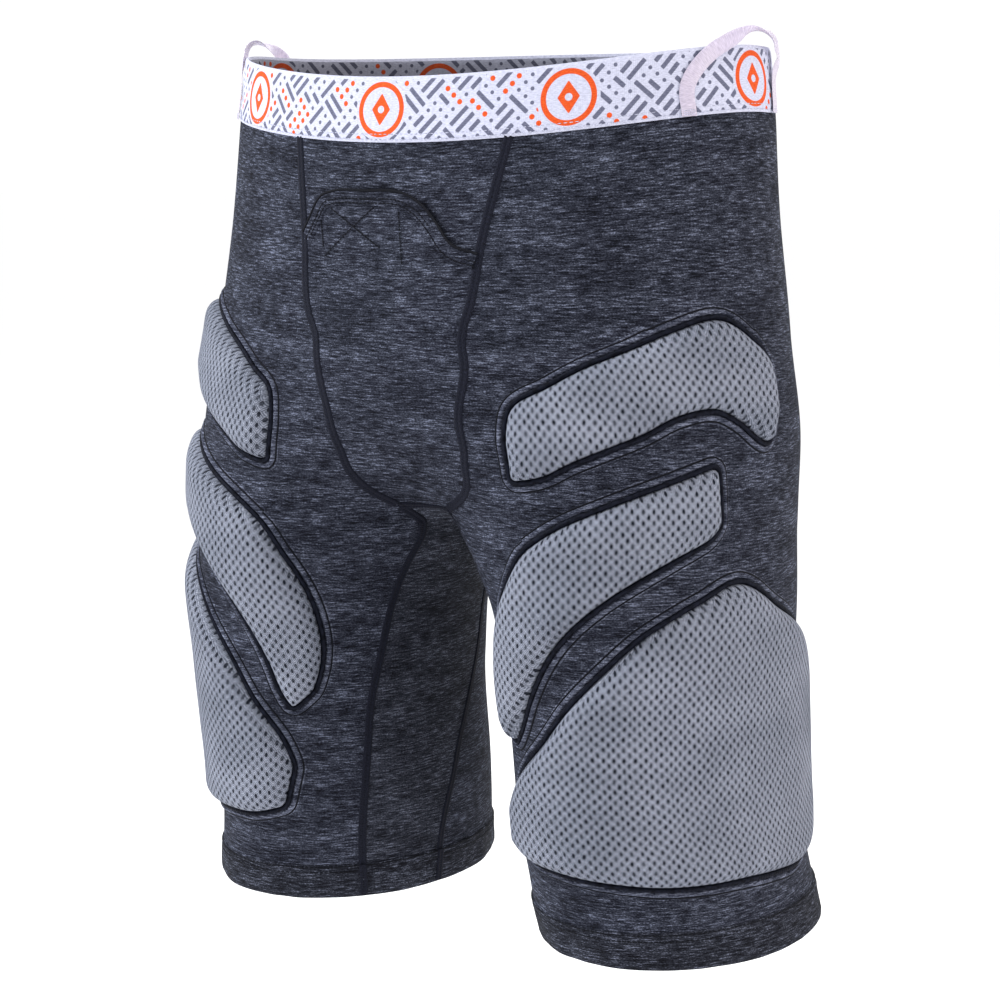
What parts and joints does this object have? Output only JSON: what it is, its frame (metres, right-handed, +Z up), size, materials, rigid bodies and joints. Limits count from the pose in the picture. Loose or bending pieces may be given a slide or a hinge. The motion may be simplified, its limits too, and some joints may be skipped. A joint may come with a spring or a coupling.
{
  "type": "padded impact shorts",
  "caption": "Padded compression shorts shown as worn: elastic waistband, raised mesh-covered foam pads at hips and thighs, cup pouch, and fold-down hanger loops.",
  "frame": {"origin": "centre of the waist opening, level with the waistband's top edge at the front", "axes": "+Z up out of the waist opening, the wearer faces -Y, the wearer's left is +X"},
  "size_m": [0.4196, 0.2743, 0.5607],
  "materials": {
    "waistband_jacquard": "woven elastic, pale lavender with a small repeat",
    "waistband_backing": "reverse of the woven elastic, greyer",
    "shell_knit": "heathered navy stretch knit, matt",
    "gusset_knit": "fine dark mesh knit",
    "flex_knit": "heathered navy stretch knit, matt",
    "seam_thread": "flatlock stitching",
    "pocket_lining": "soft knit",
    "pad_foam": "closed-cell foam",
    "pad_mesh": "pale blue-grey spacer mesh",
    "pad_piping": "black cord piping",
    "hem_knit": "turned-up knit",
    "grip_silicone": "silicone grip strip",
    "loop_ribbon": "satin ribbon"
  },
  "bodies": {
    "waist": {"waistband": "waistband_jacquard", "waistband_backing": "waistband_backing", "front_top_panel": "shell_knit", "pouch_panel": "shell_knit", "cup_pocket_lining": "pocket_lining", "pouch_edge_binding": "seam_thread", "centre_back_seam": "seam_thread", "crotch_gusset": "gusset_knit", "tailbone_pad_foam": "pad_foam", "tailbone_pad_mesh": "pad_mesh", "tailbone_pad_piping": "pad_piping", "left_hip_panel": "shell_knit", "left_front_seam": "seam_thread", "left_flex_zone": "flex_knit", "left_hip_pad_foam": "pad_foam", "left_hip_pad_mesh": "pad_mesh", "left_hip_pad_piping": "pad_piping", "right_hip_panel": "shell_knit", "right_front_seam": "seam_thread", "right_flex_zone": "flex_knit", "right_hip_pad_foam": "pad_foam", "right_hip_pad_mesh": "pad_mesh", "right_hip_pad_piping": "pad_piping"},
    "left_leg": {"left_thigh_panel": "shell_knit", "left_inner_thigh_gusset": "gusset_knit", "left_front_inseam": "seam_thread", "left_back_inseam": "seam_thread", "left_hem_band": "hem_knit", "left_hem_gripper": "grip_silicone", "left_mid_pad_foam": "pad_foam", "left_mid_pad_mesh": "pad_mesh", "left_mid_pad_piping": "pad_piping", "left_thigh_pad_foam": "pad_foam", "left_thigh_pad_mesh": "pad_mesh", "left_thigh_pad_piping": "pad_piping"},
    "right_leg": {"right_thigh_panel": "shell_knit", "right_inner_thigh_gusset": "gusset_knit", "right_front_inseam": "seam_thread", "right_back_inseam": "seam_thread", "right_hem_band": "hem_knit", "right_hem_gripper": "grip_silicone", "right_mid_pad_foam": "pad_foam", "right_mid_pad_mesh": "pad_mesh", "right_mid_pad_piping": "pad_piping", "right_thigh_pad_foam": "pad_foam", "right_thigh_pad_mesh": "pad_mesh", "right_thigh_pad_piping": "pad_piping"},
    "left_loop": {"left_hanger_loop": "loop_ribbon"},
    "right_loop": {"right_hanger_loop": "loop_ribbon"}
  },
  "joints": [
    {"name": "left_leg_flex", "type": "hinge", "parent": "waist", "child": "left_leg", "pos_m": [0.105, 0.01, -0.19], "axis": [-1, 0, 0], "range_deg": [-8, 15], "stiffness_Nm_per_rad": 1.2, "deforming": ["left_flex_zone"]},
    {"name": "right_leg_flex", "type": "hinge", "parent": "waist", "child": "right_leg", "pos_m": [-0.105, 0.01, -0.19], "axis": [-1, 0, 0], "range_deg": [-8, 15], "stiffness_Nm_per_rad": 1.2, "deforming": ["right_flex_zone"]},
    {"name": "left_loop_fold", "type": "hinge", "parent": "waist", "child": "left_loop", "pos_m": [0.17316, -0.00142, -0.01945], "axis": [0.2598, 0.9638, 0.0594], "range_deg": [0, 100], "stiffness_Nm_per_rad": 0.001},
    {"name": "right_loop_fold", "type": "hinge", "parent": "waist", "child": "right_loop", "pos_m": [-0.17316, -0.00142, -0.01945], "axis": [0.2598, -0.9638, -0.0594], "range_deg": [0, 100], "stiffness_Nm_per_rad": 0.001}
  ]
}
